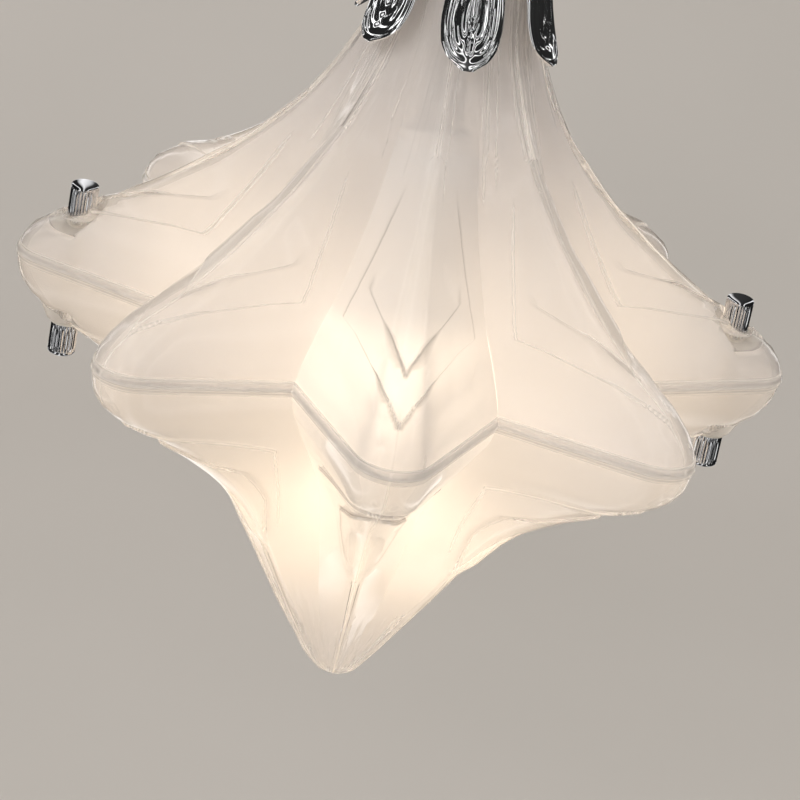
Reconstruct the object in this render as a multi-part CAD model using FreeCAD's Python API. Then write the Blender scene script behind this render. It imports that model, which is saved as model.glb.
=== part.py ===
import FreeCAD, Part
import math
import os

# Star pendant lamp: two pressed-glass shells shaped as an eight-pointed star, clamped together
# through two of the points, hung from a threaded stem under a crown of metal leaves.
# Millimetres. Shapes are drawn with the plane between the two glass rims at z = 0 and are moved
# down when written, so that the origin is the top end of the stem. +Z is up, and the two clamps
# are on the X axis.

V = FreeCAD.Vector
UP = V(0, 0, 1)

# --- glass ---------------------------------------------------------------------------------
point_count = 8
tip_radius = 175.0
valley_radius = 115.0
nose_radius = 17.0
least_nose = 1.0
glass_wall = 4.0
rim_gap = 0.3
upper_rim_height = 4.0
lower_rim_height = 2.0
upper_rim_proud = 0.7
lower_rim_proud = 0.3
leaf_relief = 1.2

# Height over the rim plane, then radius along a point's ridge and along a valley's crease.
upper_outline = [
    (0, tip_radius, valley_radius),
    (7, 173, 112.5),
    (18, 161.5, 103.5),
    (32, 131, 88),
    (48, 107, 75),
    (63, 89, 64),
    (82, 70.5, 54),
    (102, 55.5, 47),
    (122, 44.5, 40.5),
    (142, 36.5, 35),
    (165, 32, 31),
]
# Depth under the rim plane, then the same two radii.
lower_outline = [
    (0, tip_radius, valley_radius),
    (9, 173, 111),
    (20, 164, 102),
    (34, 138.5, 89.5),
    (50, 113, 75),
    (70, 88, 60),
    (95, 68.5, 50.5),
    (122, 51.5, 41),
    (150, 33.5, 28),
    (170, 20, 17),
    (180, 12.5, 11),
]
bowl_depth = 187.0
bowl_floor = 8.0

# One raised leaf, seen from above with the point's ridge along the first axis: tip first.
upper_leaf = [(161, 0), (140, 11), (119, 17.8), (102, 23.5), (93, 27), (90, 24), (76, 17), (60, 8)]
lower_leaf = [(158, 0), (138, 11.5), (118, 19), (100, 24.5), (92, 26.5), (89, 23), (76, 16), (62, 7)]

# --- clamps --------------------------------------------------------------------------------
clamp_radius = 149.0
stud_radius = 2.0
top_seat_height = 19.0
bottom_seat_depth = 30.5
top_washer_thickness = 1.0
bottom_washer_thickness = 1.5
washer_radius = 7.0
nut_radius = 6.25
nut_height = 16.0
nut_flutes = 28
flute_depth = 0.45
nut_dome = 1.3
plain_collar = 1.0
stud_engagement = 11.0
bore_spare = 1.0
running_clearance = 0.05
sleeve_radius = 4.5
loose_clearance = 0.3
hole_clearance = 1.0
seat_clearance = 1.5
boss_wall = 3.5
top_boss_thickness = 5.0
bottom_boss_thickness = 9.0

# --- stem and neck stack ---------------------------------------------------------------------
stem_radius = 5.0
stem_bore_radius = 3.5
stem_bottom = 80.0
thread_end = 12.0
groove_width = 1.2
groove_depth = 0.4
thread_clearance = 0.05
neck_floor = 4.0
gasket_radius = 15.0
gasket_thickness = 1.5
disc_radius = 20.0
disc_thickness = 1.5
hex_flats = 14.0
hex_thickness = 4.0
hex_bevel = 0.8

# --- leaf crown ------------------------------------------------------------------------------
crown_leaves = 6
crown_turn = 7.0
hub_height = 9.5
hub_radius = 30.0
hub_top_radius = 11.0
leaf_thickness = 1.6
leaf_rib = 0.9
# Radius, height over the neck's top, width and how far the edges curl out, from root to tip.
crown_stations = [
    (23.0, 6.0, 20.0, 0.3),
    (31.0, 4.0, 24.0, 0.8),
    (35.5, -3.0, 26.0, 1.4),
    (37.5, -12.0, 27.0, 2.0),
    (40.0, -21.0, 25.0, 2.6),
    (44.0, -28.0, 17.0, 2.2),
    (47.5, -31.5, 5.0, 0.6),
]

# --- lampholder ------------------------------------------------------------------------------
holder_top = 88.0
holder_skirt_top = 62.0
holder_bottom = 24.0
holder_radius = 20.0
holder_wall = 1.6
cap_boss_radius = 9.0
lip_height = 2.0
lip_radius = 14.9
insert_top = 58.0
insert_floor = 48.0
shell_wall = 0.5
shell_clearance = 0.3
tongue_drop = 2.5
tongue_width = 6.0
tongue_length = 16.0
tongue_thickness = 0.6
screw_pitch = 20.0
screw_head_radius = 3.0
screw_head_height = 2.2
screw_slot = 0.8

# --- bulb ------------------------------------------------------------------------------------
bulb_cap_radius = 13.0
bulb_radius = 30.0
bulb_length = 108.0
contact_height = 1.2
contact_radius = 3.5
insulator_height = 4.0
insulator_radius = 9.0
cap_length = 22.0
bulb_body_height = 20.0
diffuser_wall = 1.5

# --- worked out ------------------------------------------------------------------------------
half_step = math.pi / point_count
shade_height = upper_outline[-1][0]
neck_top = shade_height + rim_gap / 2
neck_ceiling = neck_top - neck_floor
hub_bottom = neck_top + gasket_thickness
hub_top = hub_bottom + hub_height
crown_nut_top = hub_top + hex_thickness
stem_top = crown_nut_top + groove_width + thread_end
disc_top = neck_ceiling - gasket_thickness
inner_nut_top = disc_top - disc_thickness
top_nut_base = top_seat_height + top_washer_thickness
bottom_nut_base = -bottom_seat_depth - bottom_washer_thickness
stud_hole_radius = stud_radius + hole_clearance
seat_radius = washer_radius + seat_clearance
boss_radius = seat_radius + boss_wall
shell_bore_radius = bulb_cap_radius + shell_clearance
insert_bore_radius = shell_bore_radius + shell_wall + shell_clearance
insert_radius = holder_radius - holder_wall - loose_clearance
insert_bottom = holder_bottom + lip_height
bulb_top = insert_floor - tongue_drop - loose_clearance


def write(name, shape):
    """Move a finished piece into the hanging frame and save it."""
    shape = shape.removeSplitter()
    shape.translate(V(0, 0, -stem_top))
    print(name, "valid", shape.isValid(), "solids", len(shape.Solids), "mm3", round(shape.Volume, 1))
    shape.exportStep("parts/" + name + ".step")


def cylinder(radius, low, high, x=0.0, y=0.0):
    return Part.makeCylinder(radius, high - low, V(x, y, low))


def tube(outer, inner, low, high, x=0.0):
    return cylinder(outer, low, high, x).cut(cylinder(inner, low, high, x))


def revolved(profile):
    """A solid of revolution about Z from (radius, z) points, closed back to the first."""
    wire = Part.makePolygon([V(r, 0, z) for r, z in profile + profile[:1]])
    return Part.Face(wire).revolve(V(0, 0, 0), UP, 360)


def each_side(make):
    """The same piece at both clamps, as separate solids in one compound."""
    return Part.makeCompound([make(-clamp_radius), make(clamp_radius)])


# --- glass -----------------------------------------------------------------------------------

def side_line(tip, valley, nose):
    """Where a point's two straight sides would meet, and half the angle between them."""
    apex = tip
    for _ in range(20):
        half = math.atan2(valley * math.sin(half_step), apex - valley * math.cos(half_step))
        apex = tip + nose / math.sin(half) - nose
    return apex, half


def star_wire(tip, valley, z, inset=0.0):
    """An eight-pointed star with round noses at height z, drawn in by the inset."""
    nose = nose_radius * tip / tip_radius
    apex, half = side_line(tip, valley, nose)
    apex -= inset / math.sin(half)
    valley -= inset / math.sin(half + half_step)
    nose = max(nose - inset, least_nose)
    centre = apex - nose / math.sin(half)
    along = centre + nose * math.sin(half)
    side = nose * math.cos(half)
    edges = []
    for k in range(point_count):
        turn = FreeCAD.Rotation(UP, 360.0 * k / point_count)
        onward = FreeCAD.Rotation(UP, 360.0 * (k + 1) / point_count)
        before = turn.multVec(V(along, -side, 0)) + V(0, 0, z)
        crest = turn.multVec(V(centre + nose, 0, 0)) + V(0, 0, z)
        after = turn.multVec(V(along, side, 0)) + V(0, 0, z)
        low = turn.multVec(V(valley * math.cos(half_step), valley * math.sin(half_step), 0))
        low = low + V(0, 0, z)
        following = onward.multVec(V(along, -side, 0)) + V(0, 0, z)
        edges.append(Part.Arc(before, crest, after).toShape())
        edges.append(Part.LineSegment(after, low).toShape())
        edges.append(Part.LineSegment(low, following).toShape())
    return Part.Wire(edges)


def steepness(outline, row):
    """Wall thickness seen along a level cut, for each unit of true thickness."""
    above = outline[min(row + 1, len(outline) - 1)]
    below = outline[max(row - 1, 0)]
    reach = []
    for height, tip, valley in (below, above):
        apex, half = side_line(tip, valley, nose_radius * tip / tip_radius)
        reach.append(apex * math.sin(half))
    slope = (reach[1] - reach[0]) / (above[0] - below[0])
    return math.sqrt(1 + slope * slope)


def star_body(outline, direction, thickness, end=None):
    """The solid inside a glass outline drawn in by a thickness; direction is 1 up and -1 down."""
    sections = []
    for row, (height, tip, valley) in enumerate(outline):
        inset = thickness * steepness(outline, row)
        sections.append(star_wire(tip, valley, direction * height, inset))
    if end is not None:
        sections.append(Part.Vertex(V(0, 0, direction * end)))
    return Part.makeLoft(sections, True, False)


def rim_band(proud, low, high):
    wire = star_wire(tip_radius + proud, valley_radius + proud, low)
    return Part.Face(wire).extrude(UP * (high - low))


def raised_leaves(leaf, low, high, raised):
    """The raised leaf of every point, as columns that end on the raised surface."""
    mirrored = [(along, -side) for along, side in leaf[-1:0:-1]]
    outline = leaf + mirrored
    corners = [V(along, side, low) for along, side in outline + outline[:1]]
    column = Part.Face(Part.makePolygon(corners)).extrude(UP * (high - low)).common(raised)
    copies = []
    for k in range(point_count):
        copy = column.copy()
        copy.rotate(V(0, 0, 0), UP, 360.0 * k / point_count)
        copies.append(copy)
    return copies


def closed_early(outline, end):
    """The same outline with its last row moved to the hollow's end."""
    return outline[:-1] + [(end,) + outline[-1][1:]]


def upper_glass():
    outer = star_body(upper_outline, 1, 0.0)
    raised = star_body(upper_outline, 1, -leaf_relief)
    hollow = star_body(closed_early(upper_outline, shade_height - neck_floor), 1, glass_wall)
    leaves = raised_leaves(upper_leaf, 1, shade_height, raised)
    glass = outer.fuse(leaves + [rim_band(upper_rim_proud, 0, upper_rim_height)])
    boss_low = top_seat_height - top_boss_thickness
    bosses = []
    for x in (-clamp_radius, clamp_radius):
        bosses.append(cylinder(boss_radius, boss_low, shade_height, x))
    hollow = hollow.cut(bosses)
    glass = glass.cut(hollow)
    for x in (-clamp_radius, clamp_radius):
        glass = glass.cut(cylinder(seat_radius, top_seat_height, shade_height, x))
        glass = glass.cut(cylinder(stud_hole_radius, 0, shade_height, x))
    glass = glass.cut(cylinder(stem_radius + hole_clearance, 0, 2 * shade_height))
    glass.translate(V(0, 0, rim_gap / 2))
    return glass


def lower_glass():
    outer = star_body(lower_outline, -1, 0.0, bowl_depth)
    raised = star_body(lower_outline, -1, -leaf_relief)
    hollow = star_body(closed_early(lower_outline, bowl_depth - bowl_floor), -1, glass_wall)
    leaves = raised_leaves(lower_leaf, -bowl_depth, -1, raised)
    bosses = []
    pads = []
    for x in (-clamp_radius, clamp_radius):
        boss_top = bottom_boss_thickness - bottom_seat_depth
        bosses.append(cylinder(seat_radius, -bowl_depth, boss_top, x))
        pads.append(cylinder(seat_radius, -bottom_seat_depth, boss_top, x))
    band = rim_band(lower_rim_proud, -lower_rim_height, 0)
    glass = outer.fuse(leaves + [band] + pads)
    glass = glass.cut(hollow.cut(bosses))
    for x in (-clamp_radius, clamp_radius):
        glass = glass.cut(cylinder(stud_hole_radius, -bowl_depth, 0, x))
        glass = glass.cut(cylinder(seat_radius, -bowl_depth, -bottom_seat_depth, x))
    glass.translate(V(0, 0, -rim_gap / 2))
    return glass


# --- clamps ----------------------------------------------------------------------------------

def fluted_prism(low, high):
    """The grip: a ring of V grooves cut along a cylinder."""
    corners = []
    for k in range(2 * nut_flutes + 1):
        angle = math.pi * k / nut_flutes
        radius = nut_radius - flute_depth * (k % 2)
        corners.append(V(radius * math.cos(angle), radius * math.sin(angle), low))
    return Part.Face(Part.makePolygon(corners)).extrude(UP * (high - low))


def clamp_nut(x, base, direction):
    """A closed knurled nut that opens towards the glass."""
    shoulder = nut_height - nut_dome
    grip = fluted_prism(0, shoulder - plain_collar)
    collar = cylinder(nut_radius, shoulder - plain_collar, shoulder)
    ball = (nut_radius ** 2 + nut_dome ** 2) / (2 * nut_dome)
    dome = Part.makeSphere(ball, V(0, 0, nut_height - ball))
    dome = dome.common(cylinder(nut_radius, shoulder, nut_height))
    bore = cylinder(stud_radius + running_clearance, 0, stud_engagement + bore_spare)
    nut = grip.fuse([collar, dome]).cut(bore)
    if direction < 0:
        nut.rotate(V(0, 0, 0), V(1, 0, 0), 180)
    nut.translate(V(x, 0, base))
    return nut


def stud(x):
    return cylinder(stud_radius, bottom_nut_base - stud_engagement, top_nut_base + stud_engagement, x)


def upper_sleeve(x):
    top = top_seat_height - top_boss_thickness + rim_gap / 2
    return tube(sleeve_radius, stud_radius + loose_clearance, rim_gap / 2, top, x)


def lower_sleeve(x):
    bottom = bottom_boss_thickness - bottom_seat_depth - rim_gap / 2
    return tube(sleeve_radius, stud_radius + loose_clearance, bottom, -rim_gap / 2, x)


def top_washer(x):
    return tube(washer_radius, stud_radius + loose_clearance, top_seat_height + rim_gap / 2,
                top_nut_base, x)


def bottom_washer(x):
    return tube(washer_radius, stud_radius + loose_clearance, bottom_nut_base,
                -bottom_seat_depth - rim_gap / 2, x)


# --- stem and neck stack -----------------------------------------------------------------------

def stem_tube():
    stem = tube(stem_radius, stem_bore_radius, stem_bottom, stem_top)
    groove = tube(2 * stem_radius, stem_radius - groove_depth, crown_nut_top,
                  crown_nut_top + groove_width)
    return stem.cut(groove)


def hex_nut(low):
    corner = hex_flats / 2 / math.cos(math.pi / 6)
    corners = []
    for k in range(7):
        angle = math.pi * k / 3
        corners.append(V(corner * math.cos(angle), corner * math.sin(angle), low))
    nut = Part.Face(Part.makePolygon(corners)).extrude(UP * hex_thickness)
    high = low + hex_thickness
    rounding = revolved([(0, low), (corner - hex_bevel, low), (corner, low + hex_bevel / 2),
                         (corner, high - hex_bevel / 2), (corner - hex_bevel, high), (0, high)])
    return nut.common(rounding).cut(cylinder(stem_radius + thread_clearance, low, high))


def ring_on_stem(radius, low, high):
    return tube(radius, stem_radius + thread_clearance, low, high)


def crown_leaf():
    """One drooping leaf: a ribbed blade that leaves the hub, hugs the neck and flares at its tip."""
    sections = []
    for k, (radius, rise, width, curl) in enumerate(crown_stations):
        before = crown_stations[max(k - 1, 0)]
        after = crown_stations[min(k + 1, len(crown_stations) - 1)]
        along = V(after[0] - before[0], 0, after[1] - before[1]).normalize()
        out = V(-along.z, 0, along.x)
        middle = V(radius, 0, neck_top + rise)
        half = width / 2
        rib = leaf_rib * width / crown_stations[3][2]
        outer = []
        inner = []
        for share, lift in ((-1, curl), (-0.5, 0), (0, rib), (0.5, 0), (1, curl)):
            drop = (share * half) ** 2 / (2 * radius)
            place = middle + V(0, share * half, 0)
            outer.append(place + out * (lift - drop + leaf_thickness / 2))
            inner.append(place + out * (lift - drop - leaf_thickness / 2))
        face_out = Part.BSplineCurve()
        face_out.interpolate(outer)
        face_in = Part.BSplineCurve()
        face_in.interpolate(inner[::-1])
        sections.append(Part.Wire([
            face_out.toShape(),
            Part.LineSegment(outer[-1], inner[-1]).toShape(),
            face_in.toShape(),
            Part.LineSegment(inner[0], outer[0]).toShape(),
        ]))
    return Part.makeLoft(sections, True, False)


def leaf_crown():
    hub = revolved([
        (0, hub_bottom), (hub_radius, hub_bottom), (hub_radius, hub_bottom + hub_height * 0.25),
        (hub_radius * 0.8, hub_bottom + hub_height * 0.6), (hub_top_radius, hub_top), (0, hub_top),
    ])
    blade = crown_leaf()
    blades = []
    for k in range(crown_leaves):
        copy = blade.copy()
        copy.rotate(V(0, 0, 0), UP, crown_turn - 90 + 360.0 * k / crown_leaves)
        blades.append(copy)
    crown = hub.fuse(blades)
    return crown.cut(cylinder(stem_radius + thread_clearance, hub_bottom - 1, hub_top + 1))


# --- lampholder ------------------------------------------------------------------------------

def holder_cap():
    wall = holder_wall
    step = holder_top - holder_skirt_top
    outside = [
        (0, holder_top), (cap_boss_radius, holder_top), (cap_boss_radius, holder_top - step * 0.3),
        (holder_radius * 0.75, holder_top - step * 0.45), (holder_radius, holder_top - step * 0.8),
        (holder_radius, holder_skirt_top), (0, holder_skirt_top),
    ]
    inside = [
        (0, stem_bottom - wall), (cap_boss_radius - wall, stem_bottom - wall),
        (holder_radius * 0.75 - wall, holder_top - step * 0.45 - wall),
        (holder_radius - wall, holder_top - step * 0.8 - wall),
        (holder_radius - wall, holder_skirt_top), (0, holder_skirt_top),
    ]
    cap = revolved(outside).cut(revolved(inside))
    cap = cap.cut(cylinder(stem_radius + thread_clearance, stem_bottom, holder_top))
    return cap.cut(cylinder(stem_bore_radius, holder_skirt_top, stem_bottom))


def holder_skirt():
    skirt = tube(holder_radius, holder_radius - holder_wall, holder_bottom, holder_skirt_top)
    lip = tube(holder_radius - holder_wall, lip_radius, holder_bottom, insert_bottom)
    return skirt.fuse(lip)


def holder_insert():
    body = cylinder(insert_radius, insert_bottom, insert_top)
    return body.cut(cylinder(insert_bore_radius, insert_bottom, insert_floor))


def holder_screw_shell():
    return tube(shell_bore_radius + shell_wall, shell_bore_radius, insert_bottom + 1, insert_floor)


def holder_contact():
    """A strip under the insert's floor that is bent down to meet the bulb's tip."""
    half = tongue_length / 2
    low = insert_floor - tongue_drop
    path = [
        (-half, insert_floor), (-half + 4, insert_floor), (2, low + tongue_thickness),
        (half - 4, low + tongue_thickness), (half - 4, low), (1.8, low),
        (-half + 3.8, insert_floor - tongue_thickness), (-half, insert_floor - tongue_thickness),
    ]
    corners = [V(x, -tongue_width / 2, z) for x, z in path + path[:1]]
    return Part.Face(Part.makePolygon(corners)).extrude(V(0, tongue_width, 0))


def terminal_screw(x):
    head = cylinder(screw_head_radius, insert_top, insert_top + screw_head_height, x)
    slot = Part.makeBox(4 * screw_head_radius, screw_slot, screw_slot,
                        V(x - 2 * screw_head_radius, -screw_slot / 2,
                          insert_top + screw_head_height - screw_slot))
    return head.cut(slot)


# --- bulb ------------------------------------------------------------------------------------

cap_top = bulb_top - contact_height - insulator_height
body_top = cap_top - cap_length
diffuser_top = body_top - bulb_body_height
bulb_bottom = bulb_top - bulb_length
neck_of_body = bulb_cap_radius + 1.0


def bulb_contact():
    return cylinder(contact_radius, bulb_top - contact_height, bulb_top)


def bulb_insulator():
    return revolved([(0, cap_top), (insulator_radius, cap_top),
                     (contact_radius, bulb_top - contact_height), (0, bulb_top - contact_height)])


def bulb_screw_shell():
    shoulder = (bulb_cap_radius - insulator_radius) / 2
    return revolved([(0, body_top), (bulb_cap_radius, body_top), (bulb_cap_radius, cap_top - shoulder),
                     (insulator_radius, cap_top), (0, cap_top)])


def bulb_body():
    """The white base between the screw cap and the globe, widening in a hollow curve."""
    low = V(bulb_radius - 0.5, 0, diffuser_top)
    high = V(neck_of_body, 0, body_top)
    middle = V(neck_of_body + 3.5, 0, body_top - bulb_body_height * 0.5)
    flank = Part.Arc(low, middle, high).toShape()
    edges = [
        Part.LineSegment(V(0, 0, diffuser_top), low).toShape(),
        flank,
        Part.LineSegment(high, V(0, 0, body_top)).toShape(),
        Part.LineSegment(V(0, 0, body_top), V(0, 0, diffuser_top)).toShape(),
    ]
    return Part.Face(Part.Wire(edges)).revolve(V(0, 0, 0), UP, 360)


def globe(radius, bottom):
    centre = bottom + radius
    ball = Part.makeSphere(radius, V(0, 0, centre))
    skirt = Part.makeCone(radius, bulb_radius - 0.5 - (bulb_radius - radius), diffuser_top - centre,
                          V(0, 0, centre))
    return ball.common(cylinder(2 * radius, bottom - 1, centre)).fuse(skirt)


def bulb_diffuser():
    return globe(bulb_radius, bulb_bottom).cut(globe(bulb_radius - diffuser_wall,
                                                     bulb_bottom + diffuser_wall))


def main():
    os.makedirs("parts", exist_ok=True)
    write("upper_glass", upper_glass())
    write("lower_glass", lower_glass())
    write("clamp_studs", each_side(stud))
    write("upper_sleeves", each_side(upper_sleeve))
    write("lower_sleeves", each_side(lower_sleeve))
    write("top_washers", each_side(top_washer))
    write("bottom_washers", each_side(bottom_washer))
    write("top_nut_left", clamp_nut(-clamp_radius, top_nut_base, 1))
    write("top_nut_right", clamp_nut(clamp_radius, top_nut_base, 1))
    write("bottom_nut_left", clamp_nut(-clamp_radius, bottom_nut_base, -1))
    write("bottom_nut_right", clamp_nut(clamp_radius, bottom_nut_base, -1))
    write("stem_tube", stem_tube())
    write("leaf_crown", leaf_crown())
    write("crown_nut", hex_nut(hub_top))
    write("upper_gasket", ring_on_stem(gasket_radius, neck_top, hub_bottom))
    write("lower_gasket", ring_on_stem(gasket_radius, disc_top, neck_ceiling))
    write("spreader_disc", ring_on_stem(disc_radius, inner_nut_top, disc_top))
    write("inner_nut", hex_nut(inner_nut_top - hex_thickness))
    write("holder_cap", holder_cap())
    write("holder_skirt", holder_skirt())
    write("holder_insert", holder_insert())
    write("holder_screw_shell", holder_screw_shell())
    write("holder_contact", holder_contact())
    write("terminal_screws", Part.makeCompound([terminal_screw(-screw_pitch / 2),
                                                terminal_screw(screw_pitch / 2)]))
    write("bulb_contact", bulb_contact())
    write("bulb_insulator", bulb_insulator())
    write("bulb_screw_shell", bulb_screw_shell())
    write("bulb_body", bulb_body())
    write("bulb_diffuser", bulb_diffuser())


main()
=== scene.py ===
import bpy
import math
import numpy as np
from mathutils import Matrix, Vector
from types import SimpleNamespace


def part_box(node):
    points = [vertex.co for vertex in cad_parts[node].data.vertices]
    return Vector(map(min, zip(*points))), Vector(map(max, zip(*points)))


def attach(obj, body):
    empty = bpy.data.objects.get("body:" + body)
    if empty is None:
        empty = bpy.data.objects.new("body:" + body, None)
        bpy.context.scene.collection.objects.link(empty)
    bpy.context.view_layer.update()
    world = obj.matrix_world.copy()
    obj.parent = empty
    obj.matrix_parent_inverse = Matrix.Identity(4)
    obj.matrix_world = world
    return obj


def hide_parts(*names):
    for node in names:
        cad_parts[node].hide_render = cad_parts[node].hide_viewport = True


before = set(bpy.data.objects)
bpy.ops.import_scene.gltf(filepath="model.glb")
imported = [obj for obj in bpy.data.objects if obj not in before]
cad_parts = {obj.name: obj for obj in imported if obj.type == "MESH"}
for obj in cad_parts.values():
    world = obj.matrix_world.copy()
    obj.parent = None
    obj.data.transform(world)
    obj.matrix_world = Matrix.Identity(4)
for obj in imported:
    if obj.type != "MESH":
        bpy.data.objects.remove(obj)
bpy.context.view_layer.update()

# A lit star pendant of two pressed-glass shells. Lengths are millimetres over or under the plane
# between the two glass rims, and are moved into the row frame, in metres, as each mesh is made.
# The camera, the stage and the lights at the end are in metres.

MM = 0.001
UPPER_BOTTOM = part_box("upper_glass")[0][2]
LOWER_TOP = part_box("lower_glass")[1][2]
RIM_Z = (UPPER_BOTTOM + LOWER_TOP) / 2
RIM_GAP = (UPPER_BOTTOM - LOWER_TOP) / MM

# --- the two glasses -----------------------------------------------------------------------------
# Outlines, walls, outer leaves and seats are those of the CAD model. The inner leaves, the streaks,
# the pits and the sloping foot round each seat are only here.
#   outline: level, distance from the axis of a point's ridge, and of the crease beside it
#   leaf, inner_leaf: distance along the ridge, half width
#   leaf_ends, inner_ends: where that leaf's relief sinks back into the shell, along the ridge
#   proud: how far the rim band stands out
#   clear: levels between which the inside turns from milky to half clear and takes painted grey
#       shade
#   thin: how clear the points' ends turn, as a share, with painted grey shade where they do
#   streaks_from, streak_highlight: the level where the upright streaks may start, and the strength
#       of the painted highlights along them
#   seat, foot, backing: levels of the flat seat, its sloping foot and the glass that backs it
#   washer: thickness of the washer between seat and nut
POINTS = 8
HALF_STEP = math.pi / POINTS
NOSE = 17.0
LEAST_NOSE = 1.0
WALL = 4.0
TIP = 175.0
STEM_HOLE = 6.0
RELIEF = 1.2
INNER_RELIEF = 1.3

UPPER = SimpleNamespace(
    name="upper_shade", direction=1, end=165.0, floor=4.0, rim=4.0, proud=0.7,
    outline=[(0, 175, 115), (7, 173, 112.5), (18, 161.5, 103.5), (32, 131, 88), (48, 107, 75),
             (63, 89, 64), (82, 70.5, 54), (102, 55.5, 47), (122, 44.5, 40.5), (142, 36.5, 35),
             (165, 32, 31)],
    leaf=[(163, 0), (145, 8), (112, 19.6), (99, 24.2), (93, 27.8), (89, 26), (79.5, 20.5), (58, 9)],
    inner_leaf=[(137.5, 0), (115.5, 8.7), (91, 17.9), (84, 17), (66, 5)],
    leaf_ends=(58, 70), inner_ends=(82, 95), clear=(28, 112), thin=1.0, streaks_from=70,
    streak_highlight=1.0, seat=19.0, foot=14.0, backing=14.0, washer=1.0)
LOWER = SimpleNamespace(
    name="lower_bowl", direction=-1, end=187.0, floor=8.0, rim=2.0, proud=0.3,
    outline=[(0, 175, 115), (9, 173, 111), (20, 164, 102), (34, 138.5, 89.5), (50, 113, 75),
             (70, 88, 60), (95, 68.5, 50.5), (122, 51.5, 41), (150, 33.5, 28), (170, 20, 17),
             (180, 12.5, 11), (185.5, 5, 4.5), (187, 0.6, 0.55)],
    leaf=[(158, 0), (138, 11.5), (118, 19), (100, 24.5), (92, 26.5), (89, 24), (76, 16), (60, 7)],
    inner_leaf=[(136, 0), (124, 5.5), (94, 13.3), (76, 10.5), (62, 3)],
    leaf_ends=(60, 70), inner_ends=(62, 72), clear=(104, 166), thin=0.5, streaks_from=118,
    streak_highlight=0.7, seat=30.5, foot=22.0, backing=21.5, washer=1.5)

# The point that faces the camera, and how clear its end and its neighbours' ends turn inside.
# Partly thinner frosting near the tips and partly painted shade: the ends turn clear and grey on
# the points that face away, while the front point stays milky.
FRONT_POINT = 6
POINT_CLEAR = 0.72
NEXT_POINT_CLEAR = 0.4

# Rows and columns of the shells' meshes, and the least and most of a half point's length that
# the column guides along the two leaf edges may take.
OUTER_ROWS = 150
INNER_ROWS = 56
SIDE_COLUMNS = 19
LEAF_COLUMNS = 9
RIDGE_COLUMNS = 12
GUIDE_SHARES = ((0.2, 0.93), (0.3, 0.975))

# --- clamps and crown, as in the CAD model but for the sloping foot round each seat ---------------
CLAMP_RADIUS = 149.0
SEAT_RADIUS = 8.5
BOSS_RADIUS = 12.0
FOOT_RADIUS = 13.0
STUD_HOLE = 3.0
NUT_RADIUS = 6.25
NUT_HEIGHT = 16.0
NUT_BORE = 2.05
NUT_BORE_DEPTH = 12.0
NUT_FLUTES = 28
CROWN_LEAVES = 6
CROWN_TURN = 7.0
NECK_TOP = 165.15
# Rows: distance from the axis, rise over the neck's top, width, curl of the sides.
CROWN_STATIONS = [(23.0, 6.0, 20.0, 0.3), (31.0, 4.0, 24.0, 0.8), (35.5, -3.0, 26.0, 1.4),
                  (37.5, -12.0, 27.0, 2.0), (40.0, -21.0, 25.0, 2.6), (44.0, -28.0, 17.0, 2.2),
                  (47.5, -31.5, 5.0, 0.6)]
HUB_PROFILE = [(5.05, 166.65), (30, 166.65), (30, 169.0), (24, 172.35), (11, 176.15),
               (5.05, 176.15)]

# --- the camera, as fitted to the photograph ------------------------------------------------------
CAMERA_AZIMUTH = math.radians(-2.78)
CAMERA_ELEVATION = math.radians(22.72)
CAMERA_ROLL = math.radians(10.91)
CAMERA_DISTANCE = 1.495
FOCAL_PIXELS = 3309.5
IMAGE_SIZE = 800.0
RIM_CENTRE_PIXEL = (401.1, 312.6)
SENSOR = 36.0

random = np.random.default_rng(7)

# --- outline helpers ------------------------------------------------------------------------------

def smooth_curve(rows, column, heights):
    """A monotone cubic through one column of a table whose first column rises."""
    x = np.array([r[0] for r in rows], float)
    y = np.array([r[column] for r in rows], float)
    step = np.diff(x)
    slope = np.diff(y) / step
    m = np.zeros(len(x))
    m[1:-1] = np.where(slope[:-1] * slope[1:] > 0,
                       2 * slope[:-1] * slope[1:] / (slope[:-1] + slope[1:] - 1e-12), 0)
    m[0] = slope[0]
    m[-1] = slope[-1]
    k = np.clip(np.searchsorted(x, heights, side="right") - 1, 0, len(x) - 2)
    t = (heights - x[k]) / step[k]
    h = step[k]
    return ((1 + 2 * t) * (1 - t) ** 2 * y[k] + t * (1 - t) ** 2 * h * m[k]
            + t * t * (3 - 2 * t) * y[k + 1] + t * t * (t - 1) * h * m[k + 1])


def sides(tip, valley, nose, rounds=30):
    """Where a point's straight sides would meet, and half the angle between them."""
    apex = tip.copy()
    for _ in range(rounds):
        half = np.arctan2(valley * math.sin(HALF_STEP), apex - valley * math.cos(HALF_STEP))
        apex = tip + nose / np.sin(half) - nose
    return apex, half


def fade(value, low, high):
    """A soft step from 0 at low to 1 at high."""
    t = np.clip((value - low) / (high - low), 0, 1)
    return t * t * (3 - 2 * t)


def bell(value, width):
    return np.exp(-(value / width) ** 2)


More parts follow.
